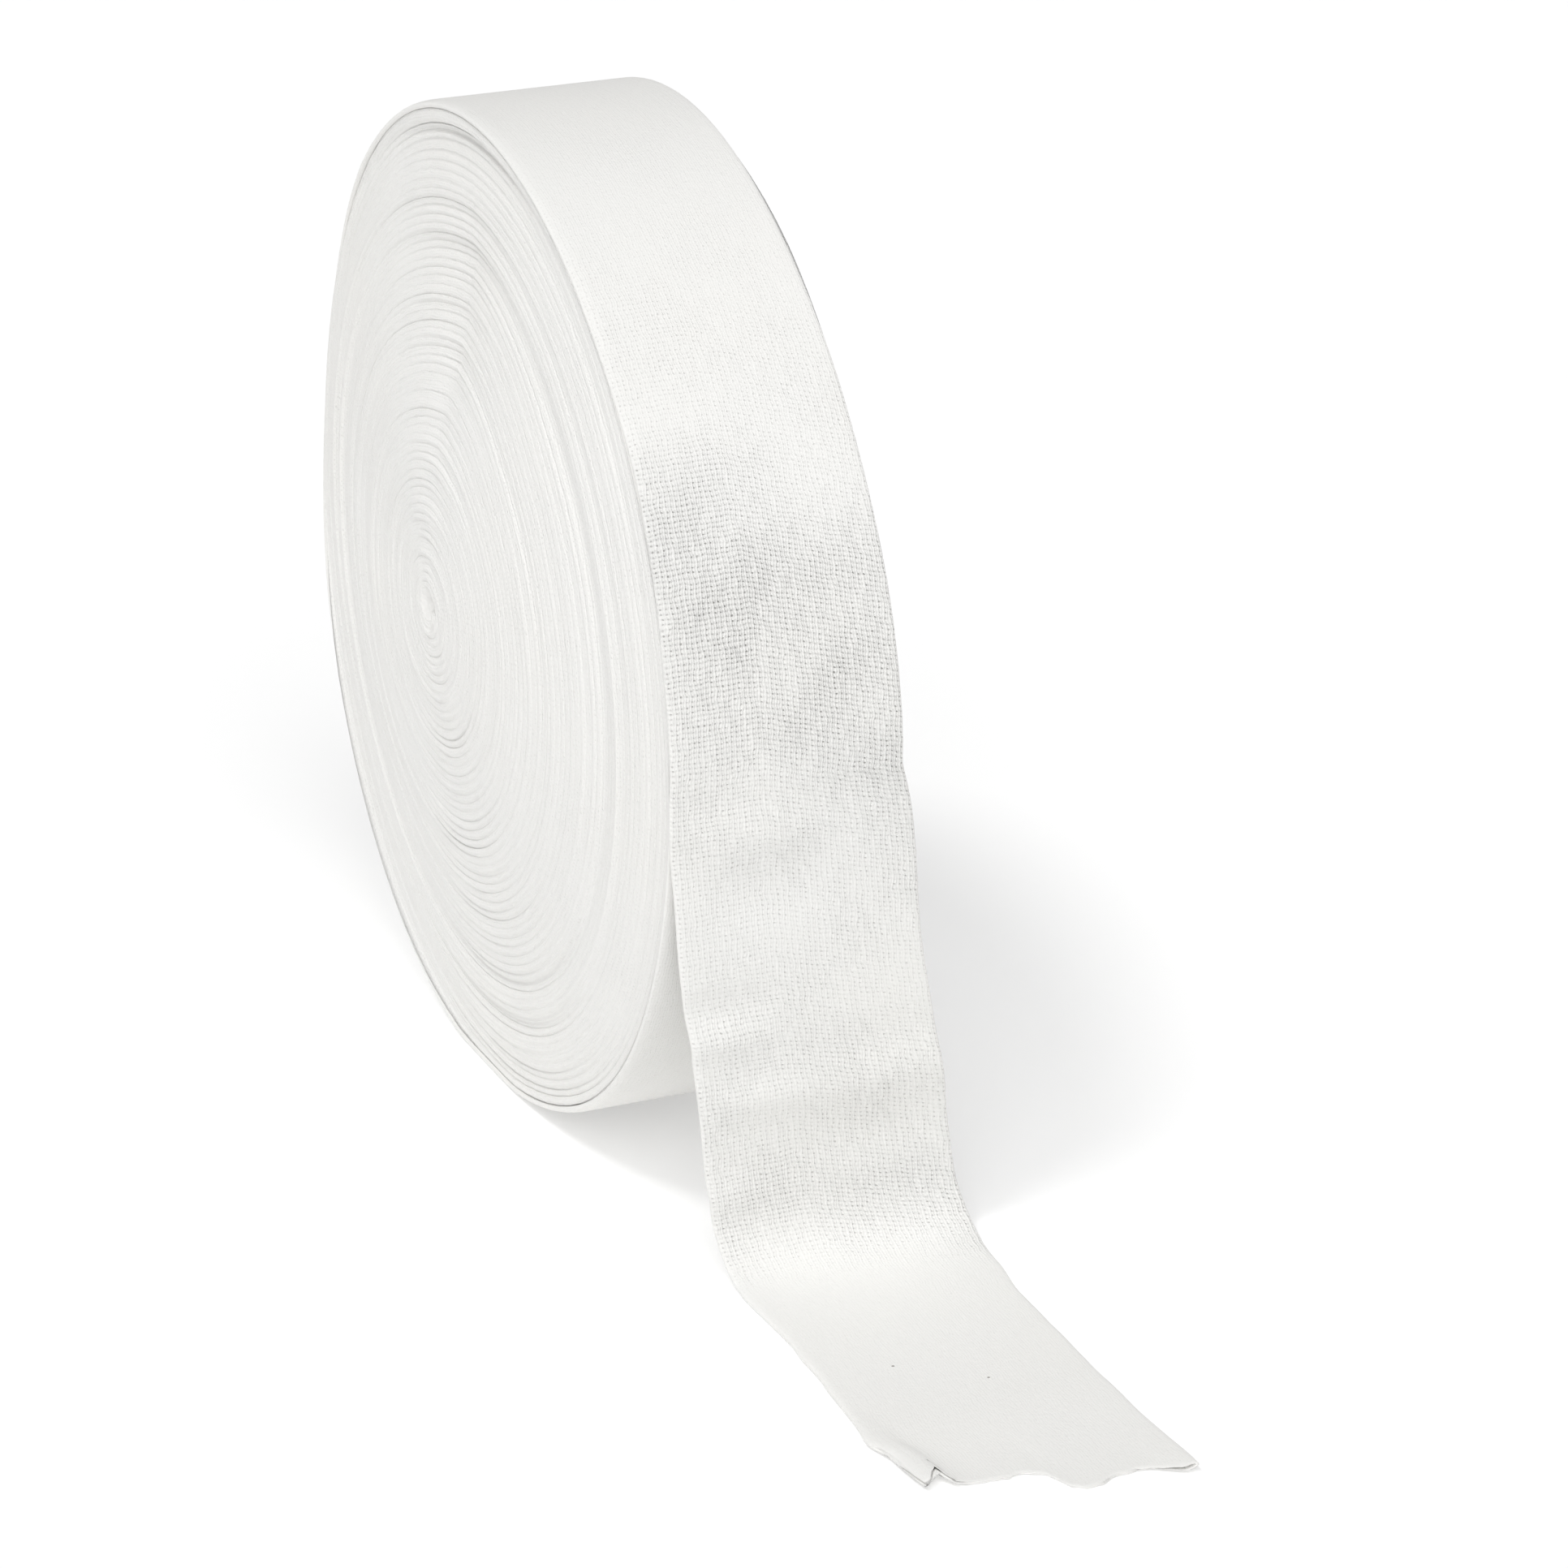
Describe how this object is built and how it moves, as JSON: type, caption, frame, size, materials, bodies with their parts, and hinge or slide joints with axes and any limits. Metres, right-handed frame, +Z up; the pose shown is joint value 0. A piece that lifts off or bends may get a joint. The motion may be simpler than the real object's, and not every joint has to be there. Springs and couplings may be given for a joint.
{
  "type": "tubular stockinette roll",
  "caption": "Flat tube of plain white cotton knit wound on itself into a narrow coreless roll that stands on its rim, with the loose end hanging down the front and lying forward.",
  "frame": {"origin": "middle of the flat spot on the rim that the roll stands on", "axes": "+Z up, +X the way the loose end runs out, +Y along the winding's axis away from the proud spiral face, which looks to -Y"},
  "size_m": [0.3513, 0.0805, 0.2327],
  "materials": {
    "roll_knit": "matt undyed-white cotton plain knit",
    "tail_knit": "matt undyed-white cotton plain knit"
  },
  "bodies": {
    "root": {"wound_roll": "roll_knit", "loose_tail": "tail_knit"}
  },
  "joints": []
}
